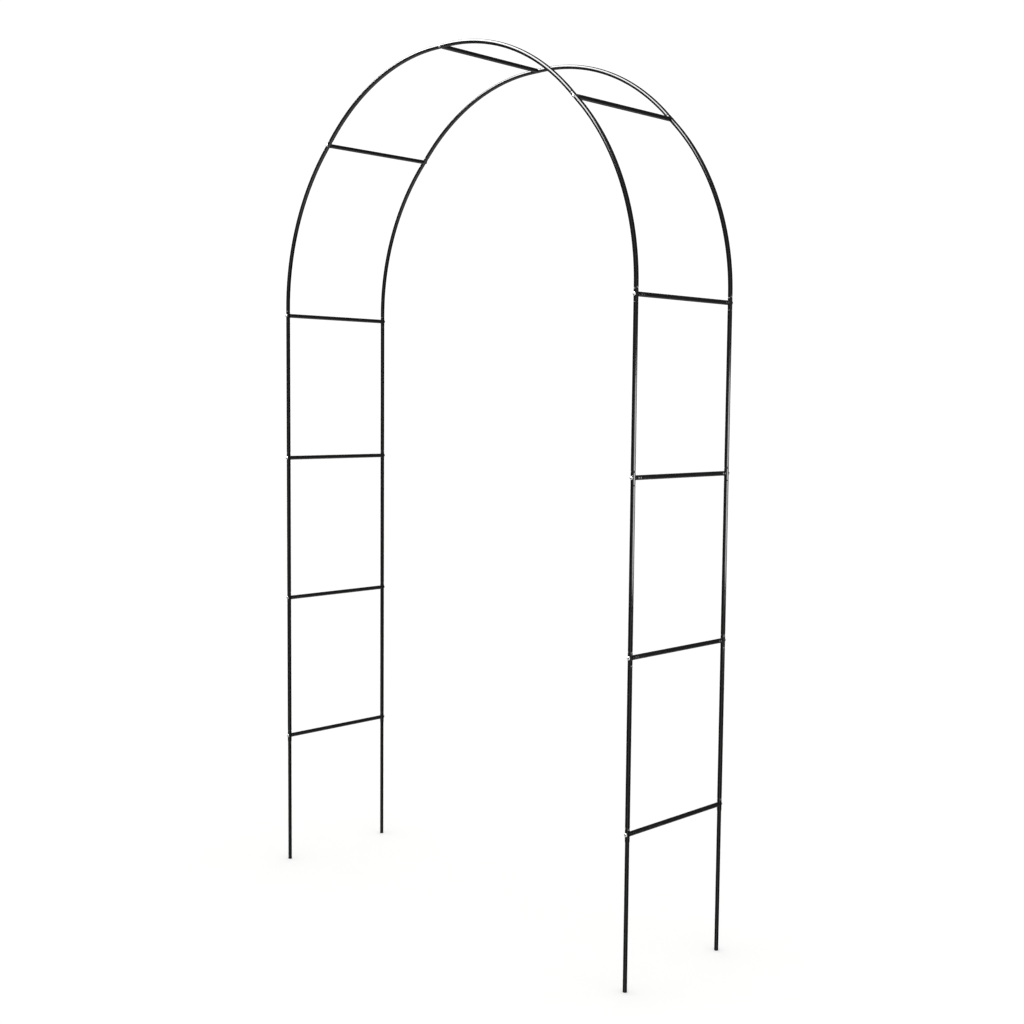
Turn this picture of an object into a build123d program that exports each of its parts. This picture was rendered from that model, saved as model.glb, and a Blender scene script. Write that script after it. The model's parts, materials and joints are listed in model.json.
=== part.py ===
from build123d import *
import os
from math import radians, tan

# Metal trellis arch: two parallel arches of thin steel tube, tied by rungs.
# X runs across the walkway, Y from the front arch to the back arch, Z up.
# The origin is on the ground, midway between the four feet. Millimetres throughout.

# Overall layout, measured on the tube axes
ARCH_HEIGHT = 2400.0        # ground to the top of the crown tubes
ARCH_RADIUS = 690.0         # distance of the top's joints from the middle of the round top
ARCH_DEPTH = 376.0          # between the front arch and the back arch
RUNG_PITCH = 436.0          # between two rungs of a side
RUNGS_PER_SIDE = 4
JOINT_ANGLE = 45.0          # of the round top that each curved tube turns through

# Tubes
TUBE_RADIUS = 6.0
TUBE_WALL = 0.5
FOOT_RADIUS = 5.4
FOOT_WALL = 0.7
FOOT_EASE = 0.2             # the foot's end is sized down in radius to slide into the lower tube
RUNG_RADIUS = 6.0
RUNG_WALL = 0.7

# Slip joint, measured along the tube from the rung's axis
SOCKET_REACH = 17.5         # rung axis back to the socket's rim
SPIGOT_REACH = 11.5         # rung axis on to the end of the swaged spigot
SWAGE = 0.6                 # how much the spigot is smaller in radius than its tube
SHOULDER = 2.0              # length of the cone between tube and spigot
STOP_START = 12.2           # rolled groove that the spigot ends against
STOP_LENGTH = 4.4
STOP_RAMP = 1.6
STOP_DEPTH = 0.6
STRAIGHT_END = 22.0         # straight length at each end of a curved tube

# Machine screw with a pan head and a cross recess
SCREW_RADIUS = 2.4
SCREW_LENGTH = 25.0         # under the head
SCREW_TIP = 0.8
HEAD_RADIUS = 4.5
HEAD_EDGE = 1.1             # height of the head's straight edge
HEAD_HEIGHT = 3.2
RECESS_WIDTH = 1.1
RECESS_SPAN = 5.2
RECESS_DEPTH = 1.8
SCREW_TURN = 37.0           # each next screw stops at another angle
SCREW_HOLE = 2.7

# Threaded insert in each rung end, held by two punched dimples
INSERT_RADIUS = 5.25
INSERT_LENGTH = 24.0
INSERT_BORE = 2.5
DIMPLE_PLACES = (8.5, 16.5)     # from the rung's end
DIMPLE_BALL = 3.0               # radius of the round punch
DIMPLE_DEPTH = 0.8
DIMPLE_GAP = 0.05               # between the rung's dimple and the insert

SPRING_HEIGHT = ARCH_HEIGHT - TUBE_RADIUS - ARCH_RADIUS
FOOT_HEIGHT = SPRING_HEIGHT - (RUNGS_PER_SIDE - 1) * RUNG_PITCH
FOOT_FREE = FOOT_HEIGHT - SOCKET_REACH - 0.5    # length of the foot below the socket's rim
BEND_RADIUS = ARCH_RADIUS - STRAIGHT_END / tan(radians(JOINT_ANGLE / 2))
RUNG_LENGTH = ARCH_DEPTH - 2 * TUBE_RADIUS
TOP_CENTRE = Vector(0, 0, SPRING_HEIGHT)


def turned(corners):
    """Solid of revolution about Z from (radius, height) corners."""
    outline = Plane.XZ * Polyline(*corners, close=True)
    return revolve(make_face(outline), Axis.Z)


def walled(outer, inner):
    """Tube length about Z between an outer and an inner wall line."""
    return turned(outer + inner[::-1])


def socket_line(skin):
    """One wall line of a socket end, from its rim to past the rolled stop groove."""
    waist = skin - STOP_DEPTH
    stop_end = STOP_START + STOP_LENGTH
    return [
        (skin, -SOCKET_REACH),
        (skin, STOP_START),
        (waist, STOP_START + STOP_RAMP),
        (waist, stop_end - STOP_RAMP),
        (skin, stop_end),
    ]


def spigot_line(skin, joint):
    """One wall line of a swaged spigot end, whose rung axis is at the height joint."""
    return [
        (skin, joint - SOCKET_REACH - SHOULDER),
        (skin - SWAGE, joint - SOCKET_REACH),
        (skin - SWAGE, joint + SPIGOT_REACH),
    ]


def screw_hole(spot):
    """Cutter for the screw's way through both walls of a tube, along Y."""
    return Pos(*spot) * Rot(90, 0, 0) * Cylinder(SCREW_HOLE, 4 * TUBE_RADIUS)


def leg_tube():
    """Straight tube: socket at the lower end, spigot at the upper, rung axis at the origin."""
    outer = socket_line(TUBE_RADIUS) + spigot_line(TUBE_RADIUS, RUNG_PITCH)
    bore = TUBE_RADIUS - TUBE_WALL
    inner = socket_line(bore) + spigot_line(bore, RUNG_PITCH)
    return walled(outer, inner) - screw_hole((0, 0, 0)) - screw_hole((0, 0, RUNG_PITCH))


def foot_tube():
    """Thinner tube that stands on or in the ground; its eased end slides into the lower tube."""
    top = FOOT_HEIGHT + SPIGOT_REACH
    bore = FOOT_RADIUS - FOOT_WALL
    outer = [
        (FOOT_RADIUS, 0),
        (FOOT_RADIUS, FOOT_FREE),
        (FOOT_RADIUS - FOOT_EASE, FOOT_FREE + FOOT_EASE),
        (FOOT_RADIUS - FOOT_EASE, top),
    ]
    return walled(outer, [(bore, 0), (bore, top)]) - screw_hole((0, 0, FOOT_HEIGHT))


def socket_end():
    """Straight socket end of a curved tube, rung axis at the origin, tube running up."""
    bore = TUBE_RADIUS - TUBE_WALL
    outer = socket_line(TUBE_RADIUS) + [(TUBE_RADIUS, STRAIGHT_END)]
    inner = socket_line(bore) + [(bore, STRAIGHT_END)]
    return walled(outer, inner) - screw_hole((0, 0, 0))


def spigot_end():
    """Straight spigot end of a curved tube, rung axis at the origin, tube coming from below."""
    bore = TUBE_RADIUS - TUBE_WALL
    outer = [(TUBE_RADIUS, -STRAIGHT_END)] + spigot_line(TUBE_RADIUS, 0)
    inner = [(bore, -STRAIGHT_END)] + spigot_line(bore, 0)
    return walled(outer, inner) - screw_hole((0, 0, 0))


def bend():
    """Bent stretch of a curved tube, starting at its straight end and leaning towards +X."""
    ring = Circle(TUBE_RADIUS) - Circle(TUBE_RADIUS - TUBE_WALL)
    bend_axis = Axis((BEND_RADIUS, 0, STRAIGHT_END), (0, 1, 0))
    return revolve(Pos(0, 0, STRAIGHT_END) * ring, bend_axis, JOINT_ANGLE)


def curved_tube(top_end):
    """Curved tube with a socket at its lower end, rung axis at the origin, rising along +Z."""
    turn = Pos(ARCH_RADIUS, 0, 0) * Rot(0, JOINT_ANGLE, 0) * Pos(-ARCH_RADIUS, 0, 0)
    return socket_end() + bend() + turn * top_end


def on_top(degrees):
    """Place at an angle of the round top: 0 is the left side, 90 the crown, 180 the right side."""
    return Pos(*TOP_CENTRE) * Rot(0, degrees, 0) * Pos(-ARCH_RADIUS, 0, 0)


def arch_tubes(front_or_back, y):
    """The twelve tubes of one arch, by node name. The right side mirrors the left."""
    shift = Pos(0, y, 0)
    left_x = Pos(-ARCH_RADIUS, 0, 0)
    crown = on_top(JOINT_ANGLE)
    sides = {
        "foot": left_x * foot_tube(),
        "shoulder_tube": on_top(0) * curved_tube(spigot_end()),
    }
    for i, level in enumerate(("lower", "middle", "upper")):
        height = FOOT_HEIGHT + i * RUNG_PITCH
        sides[level + "_tube"] = left_x * Pos(0, 0, height) * leg_tube()
    tubes = {}
    for name, tube in sides.items():
        tubes[front_or_back + "_left_" + name] = shift * tube
        tubes[front_or_back + "_right_" + name] = shift * mirror(tube, about=Plane.YZ)
    # The left crown tube ends in a spigot; the right one has a second socket that takes it.
    left_crown = crown * curved_tube(spigot_end())
    right_crown = crown * curved_tube(Rot(0, 180, 0) * socket_end())
    tubes[front_or_back + "_left_crown_tube"] = shift * left_crown
    tubes[front_or_back + "_right_crown_tube"] = shift * mirror(right_crown, about=Plane.YZ)
    return tubes


def dimples(ball):
    """Round punch marks near both ends of a rung that lies along Y, on its +Z side."""
    height = RUNG_RADIUS - DIMPLE_DEPTH + DIMPLE_BALL
    places = []
    for end in (-1, 1):
        for inset in DIMPLE_PLACES:
            places.append((0, end * (RUNG_LENGTH / 2 - inset), height))
    return [Pos(*place) * Sphere(ball) for place in places]


def rung():
    """Square-cut cross tube along Y, punched inwards on its outer side to hold the inserts."""
    solid = Rot(90, 0, 0) * Cylinder(RUNG_RADIUS, RUNG_LENGTH)
    bore = Rot(90, 0, 0) * Cylinder(RUNG_RADIUS - RUNG_WALL, RUNG_LENGTH)
    for ball in dimples(DIMPLE_BALL + RUNG_WALL):
        bore -= ball
    tube = solid - bore
    for ball in dimples(DIMPLE_BALL):
        tube -= ball
    return tube


def insert(end):
    """Threaded insert flush with one end of a rung along Y; end is -1 at the front, 1 at the back."""
    middle = end * (RUNG_LENGTH - INSERT_LENGTH) / 2
    plug = Pos(0, middle, 0) * Rot(90, 0, 0) * Cylinder(INSERT_RADIUS, INSERT_LENGTH)
    for ball in dimples(DIMPLE_BALL + RUNG_WALL + DIMPLE_GAP):
        plug -= ball
    return plug - Pos(0, middle, 0) * Rot(90, 0, 0) * Cylinder(INSERT_BORE, INSERT_LENGTH)


def screw():
    """Pan head screw along Z: head above the origin plane, shank below."""
    dome_rise = HEAD_HEIGHT - HEAD_EDGE
    dome_radius = (HEAD_RADIUS ** 2 + dome_rise ** 2) / (2 * dome_rise)
    head = Pos(0, 0, HEAD_HEIGHT / 2) * Cylinder(HEAD_RADIUS, HEAD_HEIGHT)
    head = head & Pos(0, 0, HEAD_HEIGHT - dome_radius) * Sphere(dome_radius)
    shank = Pos(0, 0, -SCREW_LENGTH / 2) * Cylinder(SCREW_RADIUS, SCREW_LENGTH)
    tip = shank.edges().group_by(Axis.Z)[0]
    body = head + chamfer(tip, SCREW_TIP)
    for turn in (0, 90):
        wing = Box(RECESS_SPAN, RECESS_WIDTH, RECESS_DEPTH)
        body -= Pos(0, 0, HEAD_HEIGHT - RECESS_DEPTH / 2) * Rot(0, 0, turn) * wing
    return body


def rung_places():
    """Every rung's place by node name; each rung's +Z side is turned outwards."""
    places = {}
    for i in range(RUNGS_PER_SIDE):
        height = FOOT_HEIGHT + i * RUNG_PITCH
        places["left_rung_%d" % (i + 1)] = Pos(-ARCH_RADIUS, 0, height) * Rot(0, -90, 0)
        places["right_rung_%d" % (i + 1)] = Pos(ARCH_RADIUS, 0, height) * Rot(0, 90, 0)
    top_rungs = {"left_shoulder_rung": 1, "crown_rung": 2, "right_shoulder_rung": 3}
    for name, joint in top_rungs.items():
        places[name] = on_top(joint * JOINT_ANGLE) * Rot(0, -90, 0)
    return places


def screw_place(place, index, end):
    """Seat of the screw on the arch tube's outer face, clamping the rung end at -1 or 1."""
    seat = Pos(0, end * (ARCH_DEPTH / 2 + TUBE_RADIUS), 0) * Rot(-90 * end, 0, 0)
    return place * seat * Rot(0, 0, index * SCREW_TURN)


def build():
    """Every node of the arch by name."""
    nodes = {}
    nodes.update(arch_tubes("front", -ARCH_DEPTH / 2))
    nodes.update(arch_tubes("back", ARCH_DEPTH / 2))
    places = rung_places()
    plain_rung = rung()
    for name, place in places.items():
        nodes[name] = place * plain_rung
    plain_screw = screw()
    for front_or_back, end in (("front", -1), ("back", 1)):
        plug = insert(end)
        plugs = [place * plug for place in places.values()]
        screws = []
        for index, place in enumerate(places.values()):
            screws.append(screw_place(place, index, end) * plain_screw)
        nodes[front_or_back + "_inserts"] = Compound(children=plugs)
        nodes[front_or_back + "_screws"] = Compound(children=screws)
    return nodes


os.makedirs("parts", exist_ok=True)
for node, shape in build().items():
    export_step(shape, "parts/" + node + ".step")
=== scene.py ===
import json
import math

import bmesh
import bpy
from mathutils import Matrix, Vector

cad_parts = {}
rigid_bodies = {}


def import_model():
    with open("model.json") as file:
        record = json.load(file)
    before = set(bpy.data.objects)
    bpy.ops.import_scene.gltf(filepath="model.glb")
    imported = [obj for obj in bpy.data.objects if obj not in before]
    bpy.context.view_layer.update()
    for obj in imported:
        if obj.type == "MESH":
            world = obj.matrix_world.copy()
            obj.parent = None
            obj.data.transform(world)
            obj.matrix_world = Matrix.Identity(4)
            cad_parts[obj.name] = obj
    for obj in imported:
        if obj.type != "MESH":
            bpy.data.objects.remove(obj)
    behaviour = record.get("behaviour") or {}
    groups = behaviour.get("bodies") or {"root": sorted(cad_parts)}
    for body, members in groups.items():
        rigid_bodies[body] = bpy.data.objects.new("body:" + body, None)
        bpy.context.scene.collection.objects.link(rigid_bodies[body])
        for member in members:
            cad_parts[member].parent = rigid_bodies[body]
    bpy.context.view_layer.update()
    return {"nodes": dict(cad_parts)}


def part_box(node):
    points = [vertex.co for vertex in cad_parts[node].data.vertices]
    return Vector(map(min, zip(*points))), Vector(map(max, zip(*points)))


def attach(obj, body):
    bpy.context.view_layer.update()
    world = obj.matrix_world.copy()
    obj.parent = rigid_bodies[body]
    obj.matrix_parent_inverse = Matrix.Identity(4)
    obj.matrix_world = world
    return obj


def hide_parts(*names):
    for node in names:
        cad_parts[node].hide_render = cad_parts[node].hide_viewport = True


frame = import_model()

# ---- Foot tubes ----------------------------------------------------------------------
# Four plain lengths of thin-walled steel tube that stand on, or are pushed into, the soil.
# They are sawn square and deburred, drilled across for the lowest screw, and powder coated
# black. Each slides up into the lowest leg tube.

MM = 0.001
TUBE_SIDES = 48
FOOT_WALL = 0.7 * MM
FOOT_EASE = 0.2 * MM            # the end inside the leg tube is this much smaller in radius
EASED_FROM = 378 * MM
DEBURR = 0.16 * MM              # broken edge of a sawn tube end
EDGE_RING = 0.6 * MM            # a last ring this near a sawn end keeps the wall's shading even
SCREW_HOLE = 2.7 * MM           # radius
DRILL_LENGTH = 40 * MM
CUT_SIDES = 24                  # of a drill and of other round cutters
HEAD_SEAT = 4.6 * MM            # stretch either side of a hole that the screw's head covers
SHARP = math.radians(40)


def middle(node):
    """Middle of a CAD node's box."""
    low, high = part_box(node)
    return (low + high) / 2


def turn_line(bm, line, steps=TUBE_SIDES, soften=0.0):
    """Skin turned a full circle about Z from (radius, height) points; soften rounds its corners."""
    points = [bm.verts.new((radius, 0, height)) for radius, height in line]
    edges = [bm.edges.new(pair) for pair in zip(points, points[1:])]
    if soften:
        bmesh.ops.bevel(bm, geom=points[1:-1], offset=soften, offset_type="OFFSET", segments=3,
                        profile=0.5, affect="VERTICES", material=-1)
        points = [vert for vert in bm.verts if not vert.link_faces]
        edges = [edge for edge in bm.edges if not edge.link_faces]
    old = set(bm.verts) - set(points)
    bmesh.ops.spin(bm, geom=points + edges, cent=(0, 0, 0), axis=(0, 0, 1), dvec=(0, 0, 0),
                   angle=math.tau, steps=steps, use_merge=True, use_duplicate=False)
    return [vert for vert in bm.verts if vert not in old]


def close_seams(bm):
    """Merges the rings where two stretches of skin meet and points every face outwards."""
    bmesh.ops.remove_doubles(bm, verts=bm.verts, dist=0.01 * MM)
    bmesh.ops.recalc_face_normals(bm, faces=bm.faces)


def mark_edges(mesh):
    """Stores how sharply the surface turns at each point, 0 to 1, where the finish wears first."""
    bm = bmesh.new()
    bm.from_mesh(mesh)
    turn = bm.verts.layers.float.new("edge")
    for vert in bm.verts:
        angle = max((edge.calc_face_angle(0.0) for edge in vert.link_edges), default=0.0)
        vert[turn] = min(1.0, angle / (math.pi / 2))
    bm.to_mesh(mesh)
    bm.free()


def finished_mesh(name, bm, *modifiers):
    """Mesh of a bmesh with modifiers applied: (type, settings) pairs, in order."""
    skin = bpy.data.meshes.new(name)
    bm.to_mesh(skin)
    bm.free()
    blank = bpy.data.objects.new(name, skin)
    bpy.context.scene.collection.objects.link(blank)
    for kind, settings in modifiers:
        modifier = blank.modifiers.new(kind, kind)
        for key, value in settings.items():
            setattr(modifier, key, value)
    ready = blank.evaluated_get(bpy.context.evaluated_depsgraph_get())
    mesh = bpy.data.meshes.new_from_object(ready)
    bpy.data.objects.remove(blank)
    mark_edges(mesh)
    mesh.shade_smooth()
    mesh.set_sharp_from_angle(angle=SHARP)
    return mesh


def wall(thickness):
    """Gives an outer skin its wall, inwards."""
    return "SOLIDIFY", {"thickness": thickness, "offset": -1.0, "use_even_offset": True}


def deburred(width):
    """Breaks the sharp edges of a sawn or headed piece."""
    return "BEVEL", {"width": width, "segments": 2, "limit_method": "ANGLE", "angle_limit": SHARP,
                     "profile": 0.5, "material": -1}


def cutter(bm):
    """Makes a closed shape a tool that cuts; returns the modifier and the tool."""
    tool = bpy.data.objects.new("cutter", bpy.data.meshes.new("cutter"))
    bm.to_mesh(tool.data)
    bm.free()
    bpy.context.scene.collection.objects.link(tool)
    return ("BOOLEAN", {"operation": "DIFFERENCE", "solver": "EXACT", "object": tool}), tool


def drilled(places):
    """Cuts holes along Y through the given points; returns the modifier and its drill."""
    bm = bmesh.new()
    for place in places:
        lie = place @ Matrix.Rotation(math.pi / 2, 4, "X")
        bmesh.ops.create_cone(bm, cap_ends=True, segments=CUT_SIDES, radius1=SCREW_HOLE,
                              radius2=SCREW_HOLE, depth=DRILL_LENGTH, matrix=lie)
    return cutter(bm)


def tube_mesh(name, bm, thickness, holes):
    """A tube's mesh from its outer skin, with wall, broken edges and the screw holes."""
    drilling, drill = drilled(holes)
    mesh = finished_mesh(name, bm, wall(thickness), deburred(DEBURR), drilling)
    bpy.data.objects.remove(drill)
    return mesh


def fit(name, mesh, place, node, finish):
    """Puts a copy of a mesh where its CAD node is, with its finish."""
    own = mesh.copy()
    own.name = name
    own.transform(place)
    own.materials.clear()
    own.materials.append(finish)
    piece = bpy.data.objects.new(name, own)
    bpy.context.scene.collection.objects.link(piece)
    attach(piece, "root")
    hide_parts(node)


def linear(hex_colour):
    """An sRGB hex colour as linear RGBA."""
    shares = [int(hex_colour[i:i + 2], 16) / 255 for i in (1, 3, 5)]
    return [s / 12.92 if s <= 0.04045 else ((s + 0.055) / 1.055) ** 2.4 for s in shares] + [1.0]


def add(tree, kind, inputs=None, **settings):
    """Adds a node: its own settings, and for each input a value or the socket that feeds it."""
    node = tree.nodes.new(kind)
    for key, value in settings.items():
        setattr(node, key, value)
    for key, value in (inputs or {}).items():
        if isinstance(value, bpy.types.NodeSocket):
            tree.links.new(value, node.inputs[key])
        else:
            node.inputs[key].default_value = value
    return node


def powder_coat(name, along):
    """Satin black polyester powder coat, baked on steel: a deep black that carries a slight
    orange peel, faint clouds in its gloss, hairline handling scuffs along the tube, and a thin
    greyer film where it pulled back from the sawn edges."""
    material = bpy.data.materials.new(name)
    material.use_nodes = True
    tree = material.node_tree
    shader = tree.nodes["Principled BSDF"]
    shader.inputs["IOR"].default_value = 1.5
    spot = add(tree, "ShaderNodeTexCoord").outputs["Object"]
    cloud = add(tree, "ShaderNodeTexNoise", {"Vector": spot, "Scale": 1 / (45 * MM), "Detail": 3.0})
    peel = add(tree, "ShaderNodeTexNoise", {"Vector": spot, "Scale": 1 / (1.6 * MM), "Detail": 2.0})
    grit = add(tree, "ShaderNodeTexNoise", {"Vector": spot, "Scale": 1 / (0.5 * MM), "Detail": 1.0})
    lying = add(tree, "ShaderNodeMapping", {"Vector": spot, "Scale": along})
    hair = add(tree, "ShaderNodeTexNoise", {"Vector": lying.outputs[0], "Scale": 1 / (0.7 * MM),
                                            "Detail": 2.0})
    scuff = add(tree, "ShaderNodeMapRange", {0: hair.outputs[0], 1: 0.62, 2: 0.78, 3: 0.0, 4: 1.0})
    edge = add(tree, "ShaderNodeAttribute", attribute_name="edge")
    ragged = add(tree, "ShaderNodeMath", {0: edge.outputs["Fac"], 1: grit.outputs[0]},
                 operation="MULTIPLY")
    worn = add(tree, "ShaderNodeMapRange", {0: ragged.outputs[0], 1: 0.14, 2: 0.34, 3: 0.0, 4: 1.0})
    black = add(tree, "ShaderNodeMix", {0: cloud.outputs[0], 6: linear("#040405"),
                                        7: linear("#09090a")}, data_type="RGBA")
    scuffed = add(tree, "ShaderNodeMix", {0: scuff.outputs[0], 6: black.outputs[2],
                                          7: linear("#111213")}, data_type="RGBA")
    thin = add(tree, "ShaderNodeMix", {0: worn.outputs[0], 6: scuffed.outputs[2],
                                       7: linear("#2c2d2e")}, data_type="RGBA")
    gloss = add(tree, "ShaderNodeMapRange", {0: cloud.outputs[0], 1: 0.3, 2: 0.7, 3: 0.11, 4: 0.17})
    dull = add(tree, "ShaderNodeMath", {0: scuff.outputs[0], 1: 0.10, 2: gloss.outputs[0]},
               operation="MULTIPLY_ADD")
    bump = add(tree, "ShaderNodeBump", {"Strength": 0.2, "Distance": 0.03 * MM,
                                        "Height": peel.outputs[0]})
    fine = add(tree, "ShaderNodeBump", {"Strength": 0.15, "Distance": 0.01 * MM,
                                        "Height": grit.outputs[0], "Normal": bump.outputs[0]})
    tree.links.new(thin.outputs[2], shader.inputs["Base Color"])
    tree.links.new(dull.outputs[0], shader.inputs["Roughness"])
    tree.links.new(fine.outputs[0], shader.inputs["Normal"])
    return material


ALONG_Z = (1.0, 1.0, 0.03)      # a scuff is some thirty times as long as it is wide
tube_coat = powder_coat("satin_black_powder_coat_on_tubes", ALONG_Z)

SIDE_TURNS = {"left": Matrix(), "right": Matrix.Rotation(math.pi, 4, "Z")}
RUNG_HEIGHTS = [middle("left_rung_%d" % (i + 1)).z for i in range(4)]
LEG_OFFSET = middle("right_rung_1").x
foot_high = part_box("front_left_foot")[1].z
foot_wide = (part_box("front_left_foot")[1].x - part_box("front_left_foot")[0].x) / 2


def leg_place(arch, side, height):
    """Place of a straight tube's rung joint, on the leg of an arch."""
    depth = middle(arch + "_left_foot").y
    return Matrix.Translation((0, depth, height)) @ SIDE_TURNS[side] @ Matrix.Translation(
        (-LEG_OFFSET, 0, 0))


foot = bmesh.new()
eased_wide = foot_wide - FOOT_EASE
turn_line(foot, [
    (foot_wide, 0),
    (foot_wide, EDGE_RING),
    (foot_wide, EASED_FROM),
    (eased_wide, EASED_FROM + FOOT_EASE),
    (eased_wide, RUNG_HEIGHTS[0] - HEAD_SEAT),
    (eased_wide, RUNG_HEIGHTS[0] + HEAD_SEAT),
    (eased_wide, foot_high - EDGE_RING),
    (eased_wide, foot_high),
])
close_seams(foot)
foot_mesh = tube_mesh("foot", foot, FOOT_WALL, [Matrix.Translation((0, 0, RUNG_HEIGHTS[0]))])
for arch in ("front", "back"):
    for side in SIDE_TURNS:
        node = arch + "_" + side + "_foot"
        fit(node + "_coated", foot_mesh, leg_place(arch, side, 0), node, tube_coat)

# ---- Leg tubes -----------------------------------------------------------------------
# Twelve equal lengths of seam-welded steel tube, three to a leg. The lower end is a plain
# socket with a rolled groove that stops the tube below; the upper end is swaged down to a
# spigot for the next tube. One screw through socket and spigot holds each joint and a rung.

TUBE_WALL = 0.5 * MM
SOCKET_REACH = 17.5 * MM        # rung axis back to the socket's rim
STOP_START = 12.2 * MM          # rolled groove, above the rung's axis
STOP_LENGTH = 4.4 * MM
STOP_RAMP = 1.6 * MM
STOP_DEPTH = 0.6 * MM
SWAGE = 0.6 * MM                # how much smaller in radius the spigot is
SPIGOT_REACH = 11.5 * MM        # rung axis on to the spigot's end
SHOULDER = 2.0 * MM             # cone between tube and spigot
ROLLED = 0.55 * MM              # how softly the groove and the shoulder are rolled

tube_wide = (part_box("front_left_lower_tube")[1].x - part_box("front_left_lower_tube")[0].x) / 2
pitch = RUNG_HEIGHTS[1] - RUNG_HEIGHTS[0]


def socket_line(radius):
    """(radius, height) points of a socket end, from its rim to past the stop groove."""
    stop_end = STOP_START + STOP_LENGTH
    return [
        (radius, -SOCKET_REACH),
        (radius, EDGE_RING - SOCKET_REACH),
        (radius, -HEAD_SEAT),
        (radius, HEAD_SEAT),
        (radius, STOP_START),
        (radius - STOP_DEPTH, STOP_START + STOP_RAMP),
        (radius - STOP_DEPTH, stop_end - STOP_RAMP),
        (radius, stop_end),
    ]


def spigot_line(radius, joint):
    """(radius, height) points of a swaged end, whose rung axis is at the height joint."""
    return [
        (radius, joint - SOCKET_REACH - SHOULDER),
        (radius - SWAGE, joint - SOCKET_REACH),
        (radius - SWAGE, joint - HEAD_SEAT),
        (radius - SWAGE, joint + HEAD_SEAT),
        (radius - SWAGE, joint + SPIGOT_REACH - EDGE_RING),
        (radius - SWAGE, joint + SPIGOT_REACH),
    ]


leg = bmesh.new()
turn_line(leg, socket_line(tube_wide) + spigot_line(tube_wide, pitch), soften=ROLLED)
close_seams(leg)
leg_holes = [Matrix.Translation((0, 0, height)) for height in (0, pitch)]
leg_mesh = tube_mesh("leg_tube", leg, TUBE_WALL, leg_holes)
for arch in ("front", "back"):
    for side in SIDE_TURNS:
        for level, height in zip(("lower", "middle", "upper"), RUNG_HEIGHTS):
            node = arch + "_" + side + "_" + level + "_tube"
            place = leg_place(arch, side, height)
            fit(node + "_coated", leg_mesh, place, node, tube_coat)

# ---- Curved tubes --------------------------------------------------------------------
# The round top of each arch is four tubes, each bent through an eighth of a circle on a
# roller and left straight at its ends for the slip joints. Three have a socket and a spigot;
# the right crown tube has a socket at both ends, so that the two halves of the top meet.

STRAIGHT_END = 22 * MM
BEND_STEPS = 30
EIGHTH = math.radians(45)

arch_radius = middle("crown_rung").z - RUNG_HEIGHTS[-1]
bend_radius = arch_radius - STRAIGHT_END / math.tan(EIGHTH / 2)


def on_top(turns):
    """Place on the round top, some eighths of a circle from the spring of its left side."""
    centre = Matrix.Translation((0, 0, RUNG_HEIGHTS[-1]))
    return centre @ Matrix.Rotation(turns * EIGHTH, 4, "Y") @ Matrix.Translation(
        (-arch_radius, 0, 0))


# From a curved tube's lower rung joint to its upper one.
to_far_joint = Matrix.Translation((arch_radius, 0, 0)) @ Matrix.Rotation(
    EIGHTH, 4, "Y") @ Matrix.Translation((-arch_radius, 0, 0))


def curved_mesh(name, far_line, far_turn):
    """Mesh of a curved tube: socket at the origin, bend towards +X, far end as far_line says."""
    bm = bmesh.new()
    turn_line(bm, socket_line(tube_wide) + [(tube_wide, STRAIGHT_END)], soften=ROLLED)
    lip = [edge for edge in bm.edges
           if all(abs(vert.co.z - STRAIGHT_END) < 0.01 * MM for vert in edge.verts)]
    lip_verts = list({vert for edge in lip for vert in edge.verts})
    bmesh.ops.spin(bm, geom=lip + lip_verts, cent=(bend_radius, 0, STRAIGHT_END), axis=(0, 1, 0),
                   dvec=(0, 0, 0), angle=EIGHTH, steps=BEND_STEPS, use_duplicate=False)
    far_end = turn_line(bm, far_line, soften=ROLLED)
    bmesh.ops.transform(bm, matrix=to_far_joint @ far_turn, verts=far_end)
    close_seams(bm)
    return tube_mesh(name, bm, TUBE_WALL, [Matrix(), to_far_joint])


swaged_end = [(tube_wide, -STRAIGHT_END)] + spigot_line(tube_wide, 0)
second_socket = socket_line(tube_wide) + [(tube_wide, STRAIGHT_END)]
spigot_curve = curved_mesh("curved_tube", swaged_end, Matrix())
socket_curve = curved_mesh("double_socket_tube", second_socket, Matrix.Rotation(math.pi, 4, "X"))
for arch in ("front", "back"):
    depth = Matrix.Translation((0, middle(arch + "_left_foot").y, 0))
    for side, turn in SIDE_TURNS.items():
        crown_mesh = spigot_curve if side == "left" else socket_curve
        for level, turns, mesh in (("shoulder", 0, spigot_curve), ("crown", 1, crown_mesh)):
            node = arch + "_" + side + "_" + level + "_tube"
            place = depth @ turn @ on_top(turns)
            fit(node + "_coated", mesh, place, node, tube_coat)

# ---- Rungs ---------------------------------------------------------------------------
# Eleven cross tubes of a slightly thicker steel, sawn square and butted against the arch
# tubes. Two punched dimples near each end, on the outer side, grip the threaded insert
# inside. They are powder coated with the tubes.

RUNG_SIDES = 64
RUNG_WALL = 0.7 * MM
DIMPLES = (8.5 * MM, 16.5 * MM)     # from the rung's end
DIMPLE_REACH = 2.9 * MM             # radius of the dished spot
DIMPLE_DEPTH = 0.8 * MM
DIMPLE_STEP = 0.45 * MM             # ring spacing where the wall is dished
DIMPLED = 20 * MM                   # length of rung end that holds the dimples

rung_low, rung_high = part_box("left_rung_1")
rung_wide = (rung_high.z - rung_low.z) / 2
rung_long = rung_high.y - rung_low.y
rung_coat = powder_coat("satin_black_powder_coat_on_rungs", (1.0, 0.03, 1.0))


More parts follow.
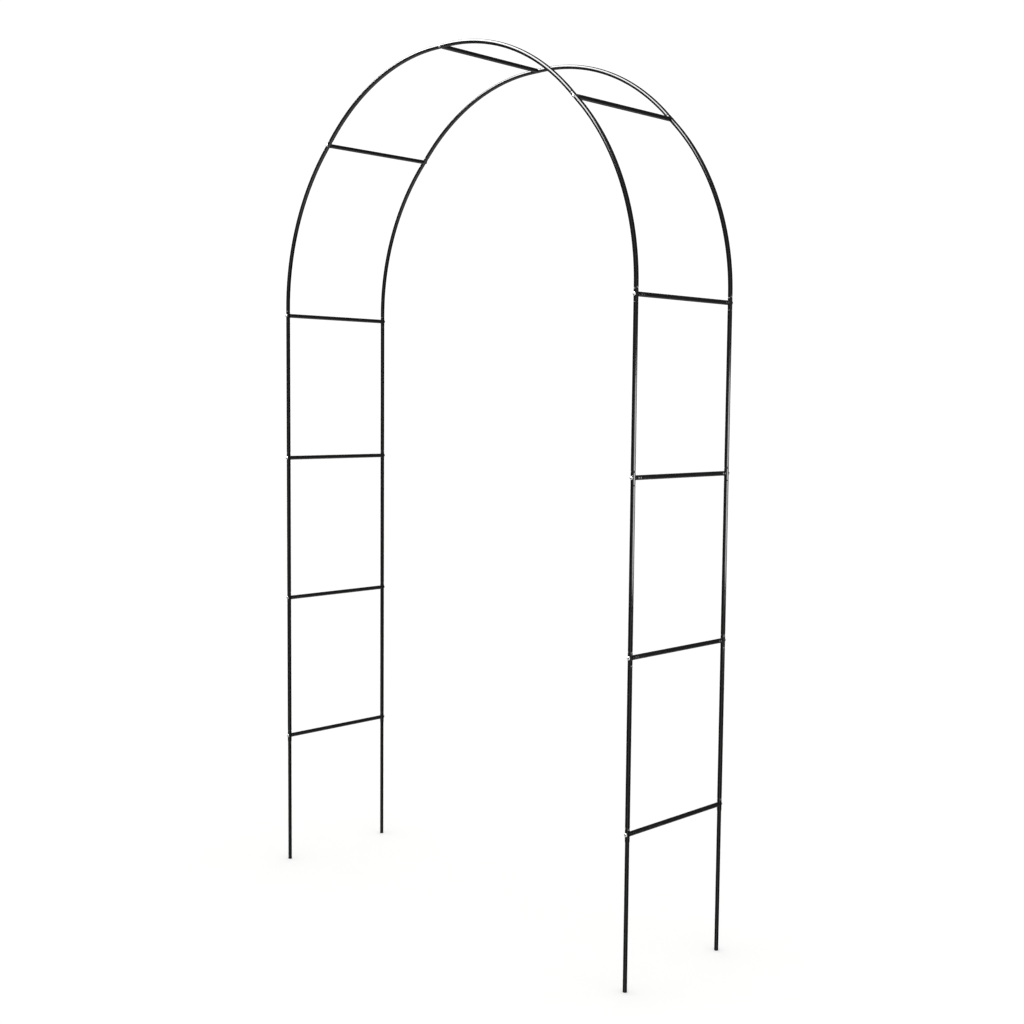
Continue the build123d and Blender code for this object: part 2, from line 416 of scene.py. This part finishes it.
def dish(bm, spot):
    """Presses a smooth round dimple into the top of a rung that lies along Y."""
    for vert in bm.verts:
        away = math.hypot(vert.co.x - spot.x, vert.co.y - spot.y)
        if vert.co.z > 0 and away < DIMPLE_REACH:
            vert.co.z -= DIMPLE_DEPTH * math.cos(away / DIMPLE_REACH * math.pi / 2) ** 2


rings = []
steps = round(DIMPLED / DIMPLE_STEP)
for end in (-1, 1):
    rings += [end * (rung_long / 2 - EDGE_RING - i * DIMPLE_STEP) for i in range(steps)]
    rings.append(end * rung_long / 2)
bar = bmesh.new()
turn_line(bar, [(rung_wide, height) for height in sorted(rings)], steps=RUNG_SIDES)
bmesh.ops.rotate(bar, verts=bar.verts, cent=(0, 0, 0), matrix=Matrix.Rotation(math.pi / 2, 3, "X"))
close_seams(bar)
for end in (-1, 1):
    for inset in DIMPLES:
        dish(bar, Vector((0, end * (rung_long / 2 - inset), rung_wide)))
rung_mesh = finished_mesh("rung", bar, wall(RUNG_WALL), deburred(DEBURR))

# Each rung's dimpled side is turned outwards. The order is the order of the screws too.
rung_places = {}
for i, height in enumerate(RUNG_HEIGHTS):
    for side, way in (("left", -1), ("right", 1)):
        lean = Matrix.Rotation(way * math.pi / 2, 4, "Y")
        rung_places["%s_rung_%d" % (side, i + 1)] = Matrix.Translation(
            (way * LEG_OFFSET, 0, height)) @ lean
for i, name in enumerate(("left_shoulder_rung", "crown_rung", "right_shoulder_rung")):
    rung_places[name] = on_top(i + 1) @ Matrix.Rotation(-math.pi / 2, 4, "Y")
for name, place in rung_places.items():
    fit(name + "_coated", rung_mesh, place, name, rung_coat)

# ---- Threaded inserts ----------------------------------------------------------------
# A turned steel plug in each rung end, zinc plated and tapped for the screw. Only its face
# can be seen once the arch is taken apart, so the CAD solids stay and get the plated finish.


def zinc_plate(name, light, dark, mottle):
    """Bright zinc plating with a clear passivate: a cool silver with faint straw and blue
    clouds of a given size and fine pitting from the drum."""
    material = bpy.data.materials.new(name)
    material.use_nodes = True
    tree = material.node_tree
    shader = tree.nodes["Principled BSDF"]
    shader.inputs["Metallic"].default_value = 1.0
    spot = add(tree, "ShaderNodeTexCoord").outputs["Object"]
    cloud = add(tree, "ShaderNodeTexNoise", {"Vector": spot, "Scale": 1 / mottle, "Detail": 3.0})
    pits = add(tree, "ShaderNodeTexNoise", {"Vector": spot, "Scale": 1 / (0.35 * MM)})
    edge = add(tree, "ShaderNodeAttribute", attribute_name="edge")
    plate = add(tree, "ShaderNodeMix", {0: cloud.outputs[0], 6: linear(light), 7: linear(dark)},
                data_type="RGBA")
    rubbed = add(tree, "ShaderNodeMath", {0: edge.outputs["Fac"], 1: 0.5}, operation="MULTIPLY")
    bright = add(tree, "ShaderNodeMix", {0: rubbed.outputs[0], 6: plate.outputs[2],
                                         7: linear("#e4e6e8")}, data_type="RGBA")
    gloss = add(tree, "ShaderNodeMapRange", {0: cloud.outputs[0], 1: 0.3, 2: 0.7, 3: 0.22, 4: 0.38})
    bump = add(tree, "ShaderNodeBump", {"Strength": 0.3, "Distance": 0.03 * MM,
                                        "Height": pits.outputs[0]})
    tree.links.new(bright.outputs[2], shader.inputs["Base Color"])
    tree.links.new(gloss.outputs[0], shader.inputs["Roughness"])
    tree.links.new(bump.outputs[0], shader.inputs["Normal"])
    return material


insert_plate = zinc_plate("zinc_plated_turned_steel", "#c9cbcd", "#a8a99f", 6 * MM)
for arch in ("front", "back"):
    plugs = frame["nodes"][arch + "_inserts"]
    plugs.material_slots[0].material = insert_plate

# ---- Screws --------------------------------------------------------------------------
# Twenty-two pan head machine screws with a cross recess, cold headed from wire, thread
# rolled and zinc plated. Each passes through an arch tube and its spigot into the insert in
# the rung's end, with the head on the outside of the arch.

HEAD_RADIUS = 4.5 * MM
HEAD_EDGE = 1.1 * MM            # straight edge under the dome
HEAD_HEIGHT = 3.2 * MM
HEAD_ROUND = 0.2 * MM           # rounding of the head's two rims
DOME_STEPS = 8
SCREW_SIDES = 40
SCREW_LENGTH = 25 * MM
THREAD_RADIUS = 2.4 * MM
THREAD_DEPTH = 0.42 * MM
THREAD_PITCH = 0.8 * MM
THREAD_FLANKS = (0.1, 0.45, 0.6, 0.95)      # shares of a pitch where a ring rises and falls
PLAIN_NECK = 1.2 * MM           # unthreaded stretch under the head
TIP = 0.8 * MM
TIP_RADIUS = 1.4 * MM
RECESS_SPAN = 5.2 * MM
RECESS_WIDTH = 1.3 * MM
RECESS_MOUTH = 1.5 * MM         # radius of the round middle where the wings meet
RECESS_DEPTH = 1.8 * MM
RECESS_TAPER = 0.45             # how much shorter a wing is at the bottom of the recess
RECESS_NARROWS = 0.2            # how much narrower
MOUTH_FLARE = 0.3               # of the round middle, either way from its radius
SCREW_TURN = math.radians(37)   # each next screw stops at another angle


def thread_line():
    """(radius, height) points from the tip to the neck. The thread is drawn as closed rings,
    not as a helix, because the tube and the insert hide it."""
    root = THREAD_RADIUS - THREAD_DEPTH
    start = TIP - SCREW_LENGTH
    line = [(0, -SCREW_LENGTH), (TIP_RADIUS, -SCREW_LENGTH), (root, start)]
    for i in range(int((-PLAIN_NECK - start) / THREAD_PITCH)):
        for radius, share in zip((root, THREAD_RADIUS, THREAD_RADIUS, root), THREAD_FLANKS):
            line.append((radius, start + (i + share) * THREAD_PITCH))
    return line + [(root, -PLAIN_NECK), (THREAD_RADIUS, -PLAIN_NECK)]


def head_line():
    """(radius, height) points of the pan head, from under its rim to the middle of its dome."""
    rise = HEAD_HEIGHT - HEAD_EDGE
    dome = (HEAD_RADIUS ** 2 + rise ** 2) / (2 * rise)
    line = [(THREAD_RADIUS, 0)]
    for turn in (0, 30, 60, 90):
        lean = math.radians(turn)
        line.append((HEAD_RADIUS - HEAD_ROUND * (1 - math.sin(lean)),
                     HEAD_ROUND * (1 - math.cos(lean))))
    line.append((HEAD_RADIUS, HEAD_EDGE - HEAD_ROUND / 2))
    for i in range(DOME_STEPS):
        radius = (HEAD_RADIUS - HEAD_ROUND / 2) * (1 - i / DOME_STEPS)
        line.append((radius, HEAD_HEIGHT - dome + math.sqrt(dome ** 2 - radius ** 2)))
    return line + [(0, HEAD_HEIGHT)]


def recess_wing(turn):
    """One wing of the cross recess, shorter at its bottom, with its flat top above the head."""
    bm = bmesh.new()
    wing = bmesh.ops.create_cube(bm, size=1.0)["verts"]
    bmesh.ops.scale(bm, verts=wing, vec=(RECESS_SPAN, RECESS_WIDTH, 2 * RECESS_DEPTH))
    bottom = [vert for vert in wing if vert.co.z < 0]
    bmesh.ops.scale(bm, verts=bottom, vec=(1 - RECESS_TAPER, 1 - RECESS_NARROWS, 1))
    bmesh.ops.rotate(bm, verts=wing, cent=(0, 0, 0), matrix=Matrix.Rotation(turn, 3, "Z"))
    bmesh.ops.translate(bm, verts=wing, vec=(0, 0, HEAD_HEIGHT))
    return bm


def recess_middle():
    """The round, tapered middle of the cross recess."""
    bm = bmesh.new()
    bmesh.ops.create_cone(bm, cap_ends=True, segments=CUT_SIDES,
                          radius1=(1 - MOUTH_FLARE) * RECESS_MOUTH,
                          radius2=(1 + MOUTH_FLARE) * RECESS_MOUTH, depth=2 * RECESS_DEPTH,
                          matrix=Matrix.Translation((0, 0, HEAD_HEIGHT)))
    return bm


screw = bmesh.new()
turn_line(screw, thread_line() + head_line(), steps=SCREW_SIDES)
close_seams(screw)
cuts = [cutter(shape) for shape in (recess_wing(0), recess_wing(math.pi / 2), recess_middle())]
screw_mesh = finished_mesh("screw", screw, *[cut for cut, tool in cuts])
for cut, tool in cuts:
    bpy.data.objects.remove(tool)

screw_plate = zinc_plate("bright_zinc_plated_screw_steel", "#e2e5e8", "#c3c3ba", 3 * MM)
for arch, way in (("front", -1), ("back", 1)):
    seat = Matrix.Translation((0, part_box(arch + "_left_lower_tube")[0 if way < 0 else 1].y, 0))
    for i, (name, place) in enumerate(rung_places.items()):
        stop = Matrix.Rotation(-way * math.pi / 2, 4, "X") @ Matrix.Rotation(i * SCREW_TURN, 4, "Z")
        fit(arch + "_screw_" + name, screw_mesh, place @ seat @ stop, arch + "_screws",
            screw_plate)

# ---- Studio --------------------------------------------------------------------------
# A plain pale floor and an even white surround, with two soft lights: a wide one high in
# front to the left, and a low one to the right. The camera is at eye height.

FLOOR_REACH = 200.0
SURROUND = 1.06                 # brightness of the surround, and as the gloss shows it
SURROUND_IN_GLOSS = 0.10
PALE_WALL = (0.63, -0.777, 0.0)     # level direction of the middle of the strip of paler wall
WALL_FADES, WALL_FULL = 0.955, 0.992    # cosines of the angle from there
WALL_AT_EYE, WALL_LOW_DOWN = 0.65, 1.1  # brightness of the strip
LOW_DOWN = -0.4                 # height of a direction, from 0 level to -1 straight down
GROUND_FADES, GROUND_FULL = -0.45, -0.75
PALE_GROUND = 0.9

floor_bm = bmesh.new()
bmesh.ops.create_grid(floor_bm, x_segments=1, y_segments=1, size=FLOOR_REACH)
floor = bpy.data.objects.new("floor", bpy.data.meshes.new("floor"))
floor_bm.to_mesh(floor.data)
floor_bm.free()
bpy.context.scene.collection.objects.link(floor)
floor.visible_glossy = False
paper = bpy.data.materials.new("matt_white_studio_floor")
paper.use_nodes = True
paper_tree = paper.node_tree
paper_spot = add(paper_tree, "ShaderNodeTexCoord").outputs["Object"]
paper_cloud = add(paper_tree, "ShaderNodeTexNoise", {"Vector": paper_spot, "Scale": 1.5})
paper_tone = add(paper_tree, "ShaderNodeMix", {0: paper_cloud.outputs[0], 6: linear("#fafaf9"),
                                               7: linear("#fdfdfc")}, data_type="RGBA")
paper_shader = paper_tree.nodes["Principled BSDF"]
paper_shader.inputs["Roughness"].default_value = 0.9
paper_shader.inputs["Specular IOR Level"].default_value = 0.0
paper_tree.links.new(paper_tone.outputs[2], paper_shader.inputs["Base Color"])
floor.data.materials.append(paper)

# The surround is even and white, but the gloss shows it as a dim room, with a paler strip of
# wall on the side of the camera and a pale ground below.
world = bpy.data.worlds.new("white_surround")
world.use_nodes = True
sky = world.node_tree
ray = add(sky, "ShaderNodeLightPath")
way = add(sky, "ShaderNodeSeparateXYZ", {0: add(sky, "ShaderNodeTexCoord").outputs["Generated"]})
flat = add(sky, "ShaderNodeCombineXYZ", {0: way.outputs["X"], 1: way.outputs["Y"]})
level = add(sky, "ShaderNodeVectorMath", {0: flat.outputs[0]}, operation="NORMALIZE")
near = add(sky, "ShaderNodeVectorMath", {0: level.outputs[0], 1: PALE_WALL},
           operation="DOT_PRODUCT")
pane = add(sky, "ShaderNodeMapRange", {0: near.outputs["Value"], 1: WALL_FADES, 2: WALL_FULL,
                                       3: 0.0, 4: 1.0})
low = add(sky, "ShaderNodeMapRange", {0: way.outputs["Z"], 1: 0.0, 2: LOW_DOWN,
                                      3: WALL_AT_EYE, 4: WALL_LOW_DOWN})
ground = add(sky, "ShaderNodeMapRange", {0: way.outputs["Z"], 1: GROUND_FADES, 2: GROUND_FULL,
                                         3: SURROUND_IN_GLOSS, 4: PALE_GROUND})
gleam = add(sky, "ShaderNodeMath", {0: pane.outputs[0], 1: low.outputs[0], 2: ground.outputs[0]},
            operation="MULTIPLY_ADD")
strength = add(sky, "ShaderNodeMix", {0: ray.outputs["Is Glossy Ray"], 2: SURROUND,
                                      3: gleam.outputs[0]})
sky.nodes["Background"].inputs["Color"].default_value = linear("#ffffff")
sky.links.new(strength.outputs[0], sky.nodes["Background"].inputs["Strength"])
bpy.context.scene.world = world


def flagged_off(name, pieces):
    """A light-linking collection that keeps a light off some pieces and on all the others."""
    group = bpy.data.collections.new(name)
    for piece in pieces:
        group.objects.link(piece)
    for entry in group.collection_objects:
        entry.light_linking.link_state = "EXCLUDE"
    return group


def soft_light(name, at, aim, wide, high, radiance, flagged):
    """A rectangular soft light at a point, turned to another."""
    lamp = bpy.data.lights.new(name, "AREA")
    lamp.shape = "RECTANGLE"
    lamp.size, lamp.size_y = wide, high
    lamp.energy = radiance * math.pi * wide * high
    light = bpy.data.objects.new(name, lamp)
    light.location = at
    light.rotation_euler = (Vector(aim) - Vector(at)).to_track_quat("-Z", "Y").to_euler()
    light.visible_camera = False
    light.light_linking.receiver_collection = flagged
    bpy.context.scene.collection.objects.link(light)


# The lights are flagged off the floor, so that it stays evenly white, and the right one off
# the tubes and screws of the left-hand side too.
left_side = [piece for piece in bpy.data.objects if "_left_" in piece.name]
off_floor = flagged_off("off_floor", [floor])
off_left_side = flagged_off("off_left_side", [floor] + left_side)
soft_light("high_softbox", at=(-1.17, -1.73, 4.42), aim=(0.35, -0.15, 2.25), wide=4.0, high=2.4,
           radiance=20, flagged=off_floor)
soft_light("side_softbox", at=(3.46, 0.46, 1.08), aim=(0.69, 0, 1.08), wide=3.5, high=1.05,
           radiance=10, flagged=off_left_side)

CAMERA_AT = Vector((2.7965, -2.7271, 1.4449))
AZIMUTH, DOWN, ROLL = math.radians(44.699), math.radians(4.548), math.radians(0.525)
SENSOR_MM = 36.0
LENS_MM = 48.39
eye = bpy.data.cameras.new("eye_height_camera")
eye.sensor_width = SENSOR_MM
eye.lens = LENS_MM
camera = bpy.data.objects.new("eye_height_camera", eye)
camera.matrix_world = (Matrix.Translation(CAMERA_AT) @ Matrix.Rotation(AZIMUTH, 4, "Z")
                       @ Matrix.Rotation(math.pi / 2 - DOWN, 4, "X")
                       @ Matrix.Rotation(ROLL, 4, "Z"))
bpy.context.scene.collection.objects.link(camera)
bpy.context.scene.camera = camera
bpy.context.scene.view_settings.view_transform = "Standard"
